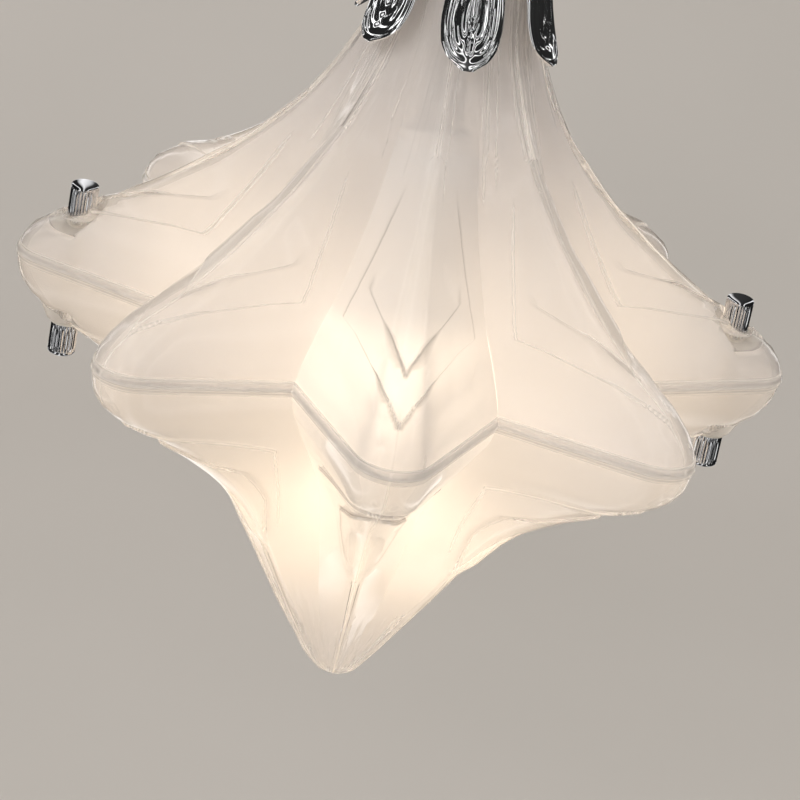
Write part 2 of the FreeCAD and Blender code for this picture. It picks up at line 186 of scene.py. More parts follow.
class Section:
    """Level cuts of a shell at many heights: a crease, a straight side and a round nose."""

    def __init__(self, outline, heights, wall=0.0):
        self.z = heights
        tip = smooth_curve(outline, 1, heights)
        valley = smooth_curve(outline, 2, heights)
        nose = NOSE * tip / TIP
        apex, half = sides(tip, valley, nose)
        if wall:
            reach = apex * np.sin(half)
            slope = np.gradient(reach, heights)
            inset = wall * np.sqrt(1 + slope * slope)
            apex = apex - inset / np.sin(half)
            valley = valley - inset / np.sin(half + HALF_STEP)
            nose = np.maximum(nose - inset, LEAST_NOSE)
        self.half = half
        self.nose = nose
        self.centre = apex - nose / np.sin(half)
        self.start = np.stack([valley * math.cos(HALF_STEP), valley * math.sin(HALF_STEP)], -1)
        self.tangent = np.stack([self.centre + nose * np.sin(half), nose * np.cos(half)], -1)
        self.straight = np.linalg.norm(self.tangent - self.start, axis=-1)
        self.sweep = math.pi / 2 - half
        self.length = self.straight + self.nose * self.sweep

    def place(self, s):
        """Plan positions (along, side) for arc lengths from the crease, a row for every level."""
        t = np.clip(s / self.straight[:, None], 0, 1)[..., None]
        line = self.start[:, None, :] * (1 - t) + self.tangent[:, None, :] * t
        past = np.clip(s - self.straight[:, None], 0, None)
        angle = self.sweep[:, None] - past / self.nose[:, None]
        arc = np.stack([self.centre[:, None] + self.nose[:, None] * np.cos(angle),
                        self.nose[:, None] * np.sin(angle)], -1)
        return np.where((s > self.straight[:, None])[..., None], arc, line)


def leaf_side(leaf, along):
    """Half the leaf's width at a distance along the ridge, or below zero outside it."""
    points = leaf[::-1]
    x = np.array([p[0] for p in points], float)
    y = np.array([p[1] for p in points], float)
    return np.where(along > x[-1], -0.5 * (along - x[-1]), np.interp(along, x, y))


def crossing(section, leaf, count=160):
    """The arc length from the crease at which each level enters the leaf, and where none does."""
    share = np.linspace(0, 1, count)
    s = section.length[:, None] * share[None, :]
    place = section.place(s)
    inside = (place[..., 1] < leaf_side(leaf, place[..., 0])) & (place[..., 0] > leaf[-1][0])
    first = np.argmax(inside, axis=1)
    none = ~inside.any(axis=1)
    edge = s[np.arange(len(s)), first]
    return edge, none


def steady(edge, none, length, low, high, window=5):
    """Column guides: the edge where there is one, else a share of the length that joins on."""
    share = edge / length
    last = np.flatnonzero(~none)[-1]
    share[none] = high
    share[last + 1:] = share[last]
    padded = np.pad(share, window // 2, mode="edge")
    share = np.convolve(padded, np.ones(window) / window, mode="valid")
    exact = ~none
    share[exact] = (edge / length)[exact]
    return np.clip(share, low, high) * length


def columns(length, outer_edge, inner_edge):
    """Arc lengths of the columns, gathered on both sides of the two leaf edges."""
    a = outer_edge
    b = np.maximum(inner_edge, a + 0.06 * length)
    b = np.minimum(b, 0.975 * length)
    a = np.minimum(a, b - 0.05 * length)
    w = np.minimum(0.55, 0.022 * length)
    close = np.array([-1.0, -0.5, 0.0, 0.5, 1.0])

    def spread(low, high, count):
        return low[:, None] + (high - low)[:, None] * np.linspace(0, 1, count)[None, :]

    parts = [spread(0 * a, a - 1.6 * w, SIDE_COLUMNS), a[:, None] + w[:, None] * close,
             spread(a + 1.7 * w, b - 1.7 * w, LEAF_COLUMNS), b[:, None] + w[:, None] * close,
             spread(b + 1.6 * w, length, RIDGE_COLUMNS)]
    return np.concatenate(parts, axis=1)


def ring_points(plan, heights, direction):
    """All eight points' positions, a ring of columns for every height, from one half point."""
    first = plan.copy()
    first[..., 1] *= -1
    both = np.concatenate([first, plan[:, ::-1][:, 1:-1]], axis=1)
    z = np.broadcast_to((direction * heights)[:, None], both.shape[:2])
    rings = []
    for k in range(POINTS):
        turn = 2 * math.pi * k / POINTS
        x = both[..., 0] * math.cos(turn) - both[..., 1] * math.sin(turn)
        y = both[..., 0] * math.sin(turn) + both[..., 1] * math.cos(turn)
        rings.append(np.stack([x, y, z], -1))
    return np.concatenate(rings, axis=1)


def all_round(half):
    """A half point's values repeated round the ring, in the order of ring_points."""
    return np.tile(np.concatenate([half, half[:, ::-1][:, 1:-1]], axis=1), (1, POINTS))


def ring_normals(points, direction):
    """Outward normals of a grid of closed rings."""
    around = np.roll(points, -1, axis=1) - np.roll(points, 1, axis=1)
    up = np.gradient(points, axis=0) * direction
    n = np.cross(around, up)
    return n / (np.linalg.norm(n, axis=-1, keepdims=True) + 1e-12)


# --- mesh helpers ---------------------------------------------------------------------------------

def make_object(name, vertices, faces, materials=(), face_slots=None, shift=0.0, sharp_degrees=32,
                marks=None):
    """A smooth-shaded object; marks are named values of each vertex that the materials read:
    painted highlight, painted shade and clearness.
    """
    mesh = bpy.data.meshes.new(name)
    placed = np.array(vertices, float) * MM
    placed[:, 2] += RIM_Z + shift * MM
    mesh.from_pydata(placed.tolist(), [], faces)
    for material in materials:
        mesh.materials.append(material)
    if face_slots is not None:
        mesh.polygons.foreach_set("material_index", np.asarray(face_slots, np.int32))
    mesh.polygons.foreach_set("use_smooth", np.ones(len(mesh.polygons), bool))
    for key, values in (marks or {}).items():
        attribute = mesh.attributes.new(key, "FLOAT", "POINT")
        attribute.data.foreach_set("value", values.astype(np.float32))
    mesh.update()
    mesh.set_sharp_from_angle(angle=math.radians(sharp_degrees))
    obj = bpy.data.objects.new(name, mesh)
    bpy.context.scene.collection.objects.link(obj)
    return obj


def grid_faces(first, rows, count, flip):
    """Quads between closed rings of count vertices."""
    faces = []
    for r in range(rows - 1):
        for c in range(count):
            a = first + r * count + c
            b = first + r * count + (c + 1) % count
            quad = (a, b, b + count, a + count)
            faces.append(quad[::-1] if flip else quad)
    return faces


def lathe(profile, count, x=0.0, radius_at=None):
    """Vertices and faces of a closed turned solid from (radius, z) points, low end first."""
    angles = 2 * math.pi * np.arange(count) / count
    rows = []
    for radius, z in profile:
        r = np.full(count, float(radius))
        if radius_at is not None:
            r = radius_at(r, z, angles)
        level = np.full(count, float(z))
        rows.append(np.stack([x + r * np.cos(angles), r * np.sin(angles), level], -1))
    faces = grid_faces(0, len(profile), count, False)
    faces.append(tuple(range(count))[::-1])
    last = (len(profile) - 1) * count
    faces.append(tuple(last + k for k in range(count)))
    return np.concatenate(rows), faces


def turned_over(vertices, faces, direction):
    """The mesh as it is, or upside down under the rim plane for the lower half."""
    if direction < 0:
        vertices[:, 2] *= -1
        faces = [face[::-1] for face in faces]
    return vertices, faces


def joined(pieces):
    """Several (vertices, faces) meshes as one."""
    vertices = []
    faces = []
    used = 0
    for points, polygons in pieces:
        vertices.append(points)
        faces += [tuple(used + i for i in polygon) for polygon in polygons]
        used += len(points)
    return np.concatenate(vertices), faces


# --- pressed relief -------------------------------------------------------------------------------

STREAKS = 170
STREAK_HEIGHT = 0.55
STREAK_LEAN = 5
STREAK_WIDTH = (0.3, 0.95)
STREAK_POWER = (0.3, 1.0)
STREAK_FADE = 14
START_SHARE = 0.55
RAISED_SHARE = 0.6
BRIGHT_SHARE = 0.6
PITS = 26
PIT_ALONG = (128, 170)
PIT_SIDE = 14
PIT_SIZE = (0.7, 1.8)
PIT_DEPTH = 0.7

# Widths of the painted marks: the painted highlight on the outer leaf's edge, the painted shade
# beside it, the painted shade beside the inner leaf, which widens from its tip, the painted
# highlight inside that, and the painted highlights on the point's ridge, on the step of the rim
# band and on the rim.
EDGE_LINE = 0.75
OUTER_STROKE = 1.0
INNER_STROKE = 0.7
STROKE_GROWTH = 1.0
STROKE_REACH = 45
INNER_LINE = 0.7
RIDGE_LINE = 0.9
BAND_LINE = 0.55
RIM_LINE = 0.5


def streak_field(turns, z, low, high):
    """Thin upright streaks of pressed glass: their height, and the painted highlight along some of
    them.
    """
    height = np.zeros_like(turns)
    streak_glint = np.zeros_like(turns)
    for _ in range(STREAKS):
        centre = random.uniform(0, 360)
        lean = random.uniform(-STREAK_LEAN, STREAK_LEAN)
        width = random.uniform(*STREAK_WIDTH)
        start = random.uniform(low, low + START_SHARE * (high - low))
        power = random.uniform(*STREAK_POWER)
        shift = (turns - centre - lean * (z - start) / (high - low) + 180) % 360 - 180
        line = bell(shift, width) * fade(z, start, start + STREAK_FADE)
        height += line * power * STREAK_HEIGHT * (1 if random.random() < RAISED_SHARE else -1)
        if random.random() < BRIGHT_SHARE:
            streak_glint = np.maximum(streak_glint, line * power)
    return height, streak_glint


def pit_field(along, side, spread):
    """Small pits and drops that gather near a point's end."""
    height = np.zeros_like(along)
    for _ in range(PITS):
        a = random.uniform(*PIT_ALONG)
        b = random.uniform(-PIT_SIDE, PIT_SIDE)
        size = random.uniform(*PIT_SIZE)
        depth = random.uniform(-PIT_DEPTH, PIT_DEPTH)
        height += depth * np.exp(-((along - a) ** 2 + (side - b) ** 2) / size ** 2)
    return height * spread


def relief(glass, section, s, edges):
    """How far the half point's surface stands proud, and how much each painted highlight and
    painted shade shows.
    """
    place = section.place(s)
    along = place[..., 0]
    side = place[..., 1]
    z = section.z[:, None]
    height = np.zeros_like(s)
    leaves = []
    ends = (glass.leaf_ends, glass.inner_ends)
    for (edge, none), (low, high), step in zip(edges, ends, (RELIEF, INNER_RELIEF)):
        past = s - edge[:, None]
        here = (~none)[:, None] * fade(along, low, high)
        height += step * fade(past, -0.5, 0.5) * here
        leaves.append((past, here))
    (outer_past, outer_here), (inner_past, inner_here) = leaves
    # Painted shade beside the two leaves, and painted highlights along the outer leaf's edge,
    # inside the inner leaf, on the ridge, on the rim band's step and on the rim.
    outer_painted_shade = bell(outer_past + 0.9, OUTER_STROKE) * outer_here
    wide = INNER_STROKE + STROKE_GROWTH * fade(glass.inner_leaf[0][0] - along, 0, STROKE_REACH)
    painted_shade = bell(inner_past + 0.5, wide) * inner_here
    ridge = bell(section.length[:, None] - s, RIDGE_LINE)
    line = bell(outer_past + 0.1, EDGE_LINE) * outer_here
    line = np.maximum(line, 0.6 * bell(inner_past - 1.3, INNER_LINE) * inner_here)
    line = np.maximum(line, 0.5 * ridge * fade(along, 128, 168))
    line = np.maximum(line, 0.85 * bell(z - glass.rim, BAND_LINE))
    line = np.maximum(line, 0.7 * bell(z - 0.2, RIM_LINE))
    settled = fade(z, glass.rim, glass.rim + 5)
    return height * settled, line, painted_shade * settled, outer_painted_shade * settled, ridge, along, side


def row_heights(end, rim, count):
    """Levels of the outer surface: close at the rim band and at the closed end."""
    share = np.linspace(0, 1, count)
    first = [0.0, 0.35, rim * 0.5, rim - 0.3, rim]
    return np.concatenate([first, rim + 0.35 + (end - rim - 0.35) * share ** 1.12])


def ridge_light(glass, ridge, z, front):
    """The painted highlight on the ridges: off the front point and fading up the upper glass,
    growing down the bowl.
    """
    if glass is UPPER:
        return 0.6 * ridge * (1 - front) * (1 - fade(z, 90, 130))
    return ridge * (0.5 + 0.3 * fade(z, 95, 140))


def press(glass, section, s, edges, points, z, front):
    """How far the outer surface stands proud, all round, and its painted highlights and painted
    shade.
    The row front holds 1 for the columns of the front point and 0 for the others."""
    half, line, painted_shade, outer_painted_shade, ridge, along, side = relief(glass, section, s, edges)
    band = np.where(section.z < glass.rim - 0.1, glass.proud, 0)[:, None]
    lift = all_round(half + band)
    turns = np.degrees(np.arctan2(points[..., 1], points[..., 0]))
    streaks, streak_glint = streak_field(turns, z, glass.streaks_from, glass.end)
    lift += streaks
    spread = fade(z, glass.rim, glass.rim + 4)
    lift += pit_field(all_round(along), all_round(np.abs(side)), spread)
    # Painted highlights are halved on the front point and joined by the streaks' painted
    # highlights; painted shade is strongest on the front point; the rim band takes painted grey
    # shade.
    line = all_round(line) * (1 - 0.5 * front)
    line = np.maximum(line, ridge_light(glass, all_round(ridge), z, front))
    marks = {
        "line": np.maximum(line, 0.8 * streak_glint * glass.streak_highlight),
        "painted_shade": np.maximum(all_round(painted_shade) * (0.3 + 0.7 * front),
                             all_round(outer_painted_shade) * (0.08 + 0.92 * front)),
        "band": 1.0 - fade(z, glass.rim - 0.2, glass.rim + 0.4),
    }
    return lift, marks


def closed_end(glass, outer_ring, outer_last, inner_last, used):
    """The wall round the shade's stem hole, or the bowl's tip: vertices, faces, material slots."""
    count = len(outer_ring)
    inner_end = glass.end - glass.floor
    faces = []
    if glass is UPPER:
        around = np.arctan2(outer_ring[:, 1], outer_ring[:, 0])
        hole = [STEM_HOLE * np.cos(around), STEM_HOLE * np.sin(around)]
        rings = [np.stack(hole + [np.full(count, level)], -1) for level in (glass.end, inner_end)]
        top, low = used, used + count
        for c in range(count):
            d = (c + 1) % count
            faces.append((outer_last + c, outer_last + d, top + d, top + c))
            faces.append((top + c, top + d, low + d, low + c))
            faces.append((low + c, low + d, inner_last + d, inner_last + c))
        return rings, faces, [0, 0, 1] * count
    tips = [np.array([[0, 0, -glass.end - 0.05], [0, 0, -inner_end]])]
    for c in range(count):
        d = (c + 1) % count
        faces.append((outer_last + d, outer_last + c, used))
        faces.append((inner_last + c, inner_last + d, used + 1))
    return tips, faces, [0, 1] * count


def shell(glass, materials):
    """One glass: pressed outside, frosted inside, joined round the rim and at the closed end."""
    direction = glass.direction
    heights = row_heights(glass.end, glass.rim, OUTER_ROWS)
    outer = Section(glass.outline, heights)
    edges = [crossing(outer, leaf) for leaf in (glass.leaf, glass.inner_leaf)]
    guides = [steady(*edge, outer.length, *share) for edge, share in zip(edges, GUIDE_SHARES)]
    s = columns(outer.length, *guides)
    points = ring_points(outer.place(s), heights, direction)
    normals = ring_normals(points, direction)
    rows, count = points.shape[:2]
    z = np.broadcast_to(heights[:, None], (rows, count))

    front = np.zeros(POINTS)
    front[FRONT_POINT] = 1.0
    ends = np.full(POINTS, POINT_CLEAR)
    ends[[FRONT_POINT - 1, (FRONT_POINT + 1) % POINTS]] = NEXT_POINT_CLEAR
    ends[FRONT_POINT] = 0.0
    front, ends = (np.repeat(each, count // POINTS)[None, :] for each in (front, ends))

    lift, marks = press(glass, outer, s, edges, points, z, front)
    flat = heights < glass.rim + 0.5
    normals[flat, :, 2] = 0
    normals[flat] /= np.linalg.norm(normals[flat], axis=-1, keepdims=True)
    points = points + normals * lift[..., None]

    inner_heights = np.linspace(0, glass.end - glass.floor, INNER_ROWS)
    inner = Section(glass.outline, inner_heights, WALL)
    inner_plan = inner.place(inner.length[:, None] * np.linspace(0, 1, s.shape[1])[None, :])
    inner_points = ring_points(inner_plan, inner_heights, direction)
    inner_along = all_round(inner_plan[..., 0])
    depth = np.broadcast_to(inner_heights[:, None], inner_along.shape)
    clear = np.maximum(0.8 * fade(depth, *glass.clear),
                       ends * glass.thin * fade(inner_along, 104, 158))

    base = rows * count
    used = base + INNER_ROWS * count
    flip = direction < 0
    outer_faces = grid_faces(0, rows, count, flip)
    inner_faces = grid_faces(base, INNER_ROWS, count, not flip)
    rim_faces = []
    for c in range(count):
        d = (c + 1) % count
        quad = (c, base + c, base + d, d)
        rim_faces.append(quad[::-1] if flip else quad)
    end_points, end_faces, end_slots = closed_end(glass, points[-1], base - count, used - count,
                                                  used)
    faces = outer_faces + inner_faces + rim_faces + end_faces
    slots = [0] * len(outer_faces) + [1] * len(inner_faces) + [0] * len(rim_faces) + end_slots
    vertices = np.concatenate([points.reshape(-1, 3), inner_points.reshape(-1, 3)] + end_points)

    padded = {}
    for key, values in marks.items():
        padded[key] = np.zeros(len(vertices))
        padded[key][:base] = np.broadcast_to(values, z.shape).reshape(-1)
    padded["clear"] = np.zeros(len(vertices))
    padded["clear"][base:used] = clear.reshape(-1)
    return make_object(glass.name, vertices, faces, materials, slots, direction * RIM_GAP / 2,
                       marks=padded)


# --- clamp seats ----------------------------------------------------------------------------------

CIRCLE = 48
SEAT_RINGS = [0.0, 4.5, 7.2, SEAT_RADIUS + 0.3, 10.3, 11.7, BOSS_RADIUS, 12.4, FOOT_RADIUS]
SEARCH_LEVELS = np.linspace(0.5, 80, 320)


def surface_height(outline, along, side):
    """The height of the plain outer surface over a plan position on the first point."""
    section = Section(outline, SEARCH_LEVELS)
    slope = np.tan(section.half)
    line = (section.tangent[:, 0] - along) * slope + section.tangent[:, 1]
    reach = np.sqrt(np.clip(section.nose ** 2 - (along - section.centre) ** 2, 0, None))
    on_nose = np.where(along < section.centre + section.nose, reach, -1.0)
    width = np.where(along < section.tangent[:, 0], line, on_nose)
    inside = SEARCH_LEVELS[width >= abs(side)]
    return inside.max() if len(inside) else 0.0


def seat_boss(glass, x):
    """Glass under a clamp: a cone round the seat outside, and a pillar that backs it inside."""
    fall = (glass.seat - glass.foot) / (FOOT_RADIUS - SEAT_RADIUS)
    tops = []
    for radius in SEAT_RINGS:
        cone = glass.seat - max(0.0, radius - SEAT_RADIUS) * fall
        for k in range(CIRCLE):
            angle = 2 * math.pi * k / CIRCLE
            top = cone
            if radius < BOSS_RADIUS:
                along = CLAMP_RADIUS + radius * math.cos(angle)
                side = radius * math.sin(angle)
                top = max(cone, surface_height(glass.outline, along, side) - 0.5)
            tops.append((radius * math.cos(angle), radius * math.sin(angle), top))
    top = np.array(tops)
    low = top.copy()
    over_pillar = np.hypot(low[:, 0], low[:, 1]) < BOSS_RADIUS + 0.1
    low[:, 2] = np.where(over_pillar, glass.backing, glass.foot - 0.05)
    # The first ring has no width: one vertex stands for it.
    vertices = np.concatenate([top[CIRCLE - 1:], low[CIRCLE - 1:]])
    half = len(vertices) // 2
    vertices[[0, half], :2] = 0
    rings = len(SEAT_RINGS) - 1
    edge = 1 + (rings - 1) * CIRCLE
    faces = []
    for k in range(CIRCLE):
        j = (k + 1) % CIRCLE
        faces.append((0, 1 + k, 1 + j))
        faces.append((half, half + 1 + j, half + 1 + k))
        for r in range(rings - 1):
            a = 1 + r * CIRCLE
            quad = (a + k, a + CIRCLE + k, a + CIRCLE + j, a + j)
            faces.append(quad)
            faces.append(tuple(half + corner for corner in quad[::-1]))
        faces.append((edge + k, half + edge + k, half + edge + j, edge + j))
    if x < 0:
        vertices[:, :2] *= -1
    vertices[:, 0] += x
    return turned_over(vertices, faces, glass.direction)


def combine(target, tool, operation):
    """Applies one boolean to the target and removes the tool."""
    modifier = target.modifiers.new("cut", "BOOLEAN")
    modifier.operation = operation
    modifier.object = tool
    modifier.solver = "EXACT"
    graph = bpy.context.evaluated_depsgraph_get()
    mesh = bpy.data.meshes.new_from_object(target.evaluated_get(graph))
    target.modifiers.clear()
    old = target.data
    target.data = mesh
    bpy.data.meshes.remove(old)
    bpy.data.objects.remove(tool)


def seat_clamps(obj, glass):
    """Adds both bosses to a glass, then cuts their flat seats and the stud holes."""
    profile = [(STUD_HOLE, -2), (STUD_HOLE, glass.seat), (SEAT_RADIUS, glass.seat),
               (SEAT_RADIUS, glass.seat + 40)]
    places = (-CLAMP_RADIUS, CLAMP_RADIUS)
    bosses = [seat_boss(glass, x) for x in places]
    cuts = [turned_over(*lathe(profile, CIRCLE, x), glass.direction) for x in places]
    shift = glass.direction * RIM_GAP / 2
    combine(obj, make_object("bosses", *joined(bosses), shift=shift), "UNION")
    combine(obj, make_object("seats", *joined(cuts), shift=shift), "DIFFERENCE")


# --- metalwork ------------------------------------------------------------------------------------

GRIP_TOP = NUT_HEIGHT - 2.3
GRIP_ROWS = 5
LIP = 0.8
DOME_RISE = 1.5
DOME_ROWS = 8
DOME_FULLNESS = 0.62
FLUTE_DEPTH = 0.45
FLUTE_COLUMNS = 8
CORNER = 0.05


def clamp_nut(name, x, base, direction, material):
    """A closed nut: round flutes up its grip, a smooth lip and a shallow dome."""
    rows = [(NUT_RADIUS - 0.35, 0.0), (NUT_RADIUS - CORNER, 0.3)]
    for k in range(GRIP_ROWS + 1):
        rows.append((NUT_RADIUS, 0.5 + (GRIP_TOP - 0.9) * k / GRIP_ROWS))
    rows += [(NUT_RADIUS, GRIP_TOP), (NUT_RADIUS, GRIP_TOP + 0.35), (NUT_RADIUS, GRIP_TOP + LIP)]
    for k in range(1, DOME_ROWS + 1):
        angle = math.pi / 2 * k / DOME_ROWS
        rows.append(((NUT_RADIUS - CORNER) * math.cos(angle) ** DOME_FULLNESS + 1e-4,
                     GRIP_TOP + LIP + DOME_RISE * math.sin(angle)))
    rows[-1] = (0.35, NUT_HEIGHT)

    def radius_at(radius, z, angles):
        depth = FLUTE_DEPTH * fade(z, 0.25, 0.8) * (1 - fade(z, GRIP_TOP - 0.4, GRIP_TOP))
        wave = 0.5 - 0.5 * np.cos(NUT_FLUTES * angles)
        return radius - depth * wave ** 0.7

    bore = [(0.05, NUT_BORE_DEPTH), (NUT_BORE, NUT_BORE_DEPTH - 0.6), (NUT_BORE, 0.4),
            (NUT_BORE + 0.4, 0.0)]
    solid = lathe(bore + rows, NUT_FLUTES * FLUTE_COLUMNS, x, radius_at)
    vertices, faces = turned_over(*solid, direction)
    vertices[:, 2] += base
    return make_object(name, vertices, faces, [material], sharp_degrees=40)


BLADE_ROWS = 64
BLADE_COLUMNS = 49
BLADE_HALF = 0.8
HUB_COLUMNS = 96
SWELL = 0.9
FULL_HALF_WIDTH = 13.5
EDGE_SOFTNESS = 1.6
TIP_SHARE = 0.62
RIB_DEPTH = 0.55
RIB_STEP = 3.1
GROOVE_DEPTH = 1.5
PAD_RISE = 0.9
PAD_FROM_TIP = 6.2


def blade_height(half, across, from_end, curl):
    """How far a crown leaf's outside and inside stand off its middle surface."""
    lateral = half * across
    lift = curl * across ** 4 + SWELL * (half / FULL_HALF_WIDTH) * (1 - across ** 2) ** 2
    from_edge = half * (1 - np.abs(across))
    from_tip = from_end * TIP_SHARE
    edge = -EDGE_SOFTNESS * np.log(np.exp(-from_edge / EDGE_SOFTNESS)
                                   + np.exp(-from_tip / EDGE_SOFTNESS))
    ribs = RIB_DEPTH * np.sin(edge * 2 * math.pi / RIB_STEP - 0.6) * fade(edge, 0.2, 1.4)
    groove = -GROOVE_DEPTH * bell(lateral, 0.9 + 0.03 * from_end) * fade(from_tip, 3.4, 6.0)
    off_pad = from_end - PAD_FROM_TIP
    pad = PAD_RISE * np.exp(-(off_pad / 3.0) ** 2 - (lateral / 3.6) ** 2)
    calm = 1 - np.exp(-(off_pad / 3.4) ** 2 - (lateral / 4.2) ** 2)
    raised = lift + ribs * calm + groove + pad
    rim = fade(np.minimum(from_edge, from_end), 0, 0.7)
    return raised + BLADE_HALF * rim, lift * 0.8 - BLADE_HALF * rim


def crown_blade():
    """One leaf of the crown: nested ribs, a deep middle groove and a pad at its tip."""
    stations = np.array(CROWN_STATIONS)
    fine = np.linspace(0, 1, BLADE_ROWS)
    known = np.linspace(0, 1, len(stations))

    def along(column):
        table = list(zip(known, stations[:, column]))
        return smooth_curve(table, 1, np.clip(fine, 0, 1 - 1e-9))

    radius, rise, width, curl = (along(k) for k in range(4))
    slope_r = np.gradient(radius, fine)
    slope_z = np.gradient(rise, fine)
    size = np.hypot(slope_r, slope_z)
    out_r = -slope_z / size
    out_z = slope_r / size
    travel = np.concatenate([[0], np.cumsum(np.hypot(np.diff(radius), np.diff(rise)))])
    from_end = (travel[-1] - travel)[:, None]
    across = np.linspace(-1, 1, BLADE_COLUMNS)[None, :]
    half = (width / 2)[:, None]
    lateral = half * across
    drop = lateral ** 2 / (2 * radius[:, None])
    grids = []
    for height in blade_height(half, across, from_end, curl[:, None]):
        offset = height - drop
        x = radius[:, None] + out_r[:, None] * offset
        z = NECK_TOP + rise[:, None] + out_z[:, None] * offset
        grids.append(np.stack([x, lateral, z], -1).reshape(-1, 3))
    faces = []
    rows, count = BLADE_ROWS, BLADE_COLUMNS
    used = rows * count
    for r in range(rows - 1):
        for c in range(count - 1):
            a = r * count + c
            faces.append((a, a + 1, a + count + 1, a + count))
            faces.append((used + a + count, used + a + count + 1, used + a + 1, used + a))
    for r in range(rows - 1):
        a, b = r * count, (r + 1) * count
        faces.append((used + a, a, b, used + b))
        a, b = a + count - 1, b + count - 1
        faces.append((a, used + a, used + b, b))
    for c in range(count - 1):
        faces.append((c + 1, c, used + c, used + c + 1))
        a = (rows - 1) * count + c
        faces.append((a, a + 1, used + a + 1, used + a))
    return np.concatenate(grids), faces


def leaf_crown(material):
    """Six drooping leaves round a turned hub."""
    blade, faces = crown_blade()
    pieces = []
    for k in range(CROWN_LEAVES):
        turn = math.radians(CROWN_TURN - 90 + 360 * k / CROWN_LEAVES)
        copy = blade.copy()
        copy[:, 0] = blade[:, 0] * math.cos(turn) - blade[:, 1] * math.sin(turn)
        copy[:, 1] = blade[:, 0] * math.sin(turn) + blade[:, 1] * math.cos(turn)
        pieces.append((copy, faces))
    # The hub is a ring, so its profile closes on itself and needs no end faces.
    vertices, hub_faces = lathe(HUB_PROFILE + HUB_PROFILE[:1], HUB_COLUMNS)
    pieces.append((vertices, hub_faces[:-2]))
    points, polygons = joined(pieces)
    return make_object("leaf_crown_cast", points, polygons, [material], sharp_degrees=50)


# --- materials ------------------------------------------------------------------------------------

class Nodes:
    """A short way to write the nodes of a material or a world."""

    def __init__(self, owner, output):
        owner.use_nodes = True
        self.owner = owner
        self.tree = owner.node_tree
        self.tree.nodes.clear()
        self.output = self.add(output)

    def add(self, kind, **values):
        """A node with settings, or with inputs whose names have _ for a blank."""
        node = self.tree.nodes.new(kind)
        for key, value in values.items():
            if hasattr(node, key):
                setattr(node, key, value)
            else:
                node.inputs[key.replace("_", " ")].default_value = value
        return node

    def link(self, source, target):
        self.tree.links.new(source, target)

    def noise(self, scale, detail, rough=0.5):
        place = self.add("ShaderNodeTexCoord")
        noise = self.add("ShaderNodeTexNoise", Scale=scale, Detail=detail, Roughness=rough)
        self.link(place.outputs["Object"], noise.inputs["Vector"])
        return noise.outputs["Fac"]

    def ramp(self, source, stops):
        ramp = self.add("ShaderNodeValToRGB")
        while len(ramp.color_ramp.elements) < len(stops):
            ramp.color_ramp.elements.new(0.5)
        for element, (place, colour) in zip(ramp.color_ramp.elements, stops):
            element.position = place
            element.color = (*colour, 1)
        self.link(source, ramp.inputs["Fac"])
        return ramp.outputs["Color"]

    def tinted(self, cloud, colour, dark, low=0.3, high=0.7):
        """The colour, and a little darker where the noise is low."""
        return self.ramp(cloud, [(low, tuple(dark * c for c in colour)), (high, colour)])

    def bump(self, source, distance, strength=1.0):
        bump = self.add("ShaderNodeBump", Distance=distance, Strength=strength)
        self.link(source, bump.inputs["Height"])
        return bump.outputs[0]

    def mark(self, name, share):
        """A mark of the vertices, times a share."""
        found = self.add("ShaderNodeAttribute", attribute_name=name).outputs["Fac"]
        return self.math("MULTIPLY", found, share)

    def math(self, operation, *values):
        node = self.add("ShaderNodeMath", operation=operation)
        for socket, value in zip(node.inputs, values):
            if isinstance(value, (int, float)):
                socket.default_value = value
            else:
                self.link(value, socket)
        return node.outputs[0]

    def mixed(self, share, first, second):
        """The first shader, with a share of the second."""
        node = self.add("ShaderNodeMixShader")
        if isinstance(share, (int, float)):
            node.inputs["Fac"].default_value = share
        else:
            self.link(share, node.inputs["Fac"])
        self.link(first, node.inputs[1])
        self.link(second, node.inputs[2])
        return node.outputs[0]

    def milk(self, colour, back):
        """Scatters a share of the light back and the rest through."""
        glow = self.add("ShaderNodeBsdfTranslucent")
        lit = self.add("ShaderNodeBsdfDiffuse")
        self.link(colour, glow.inputs["Color"])
        self.link(colour, lit.inputs["Color"])
        return self.mixed(back, glow.outputs[0], lit.outputs[0])

    def unshadowed(self, shader, tint):
        """Lets lamplight through as if the glass cast no shadow."""
        clear = self.add("ShaderNodeBsdfTransparent", Color=(*tint, 1))
        path = self.add("ShaderNodeLightPath")
        return self.mixed(path.outputs["Is Shadow Ray"], shader, clear.outputs[0])

    def finish(self, shader):
        self.link(shader, self.output.inputs["Surface"])
        return self.owner


def material_nodes(name):
    return Nodes(bpy.data.materials.new(name), "ShaderNodeOutputMaterial")


GLASS_IOR = 1.3
# Painted shade greys of the outside: beside the leaves, and on the rim band.
PAINTED_SHADE_GREY = (0.16, 0.135, 0.115)
BAND_SHADE_GREY = (0.5, 0.47, 0.44)
# Painted shade grey where the inside turns clear.
CLEAR_SHADE_GREY = (0.65, 0.625, 0.625)
SHEER_TINT = (0.93, 0.925, 0.93)


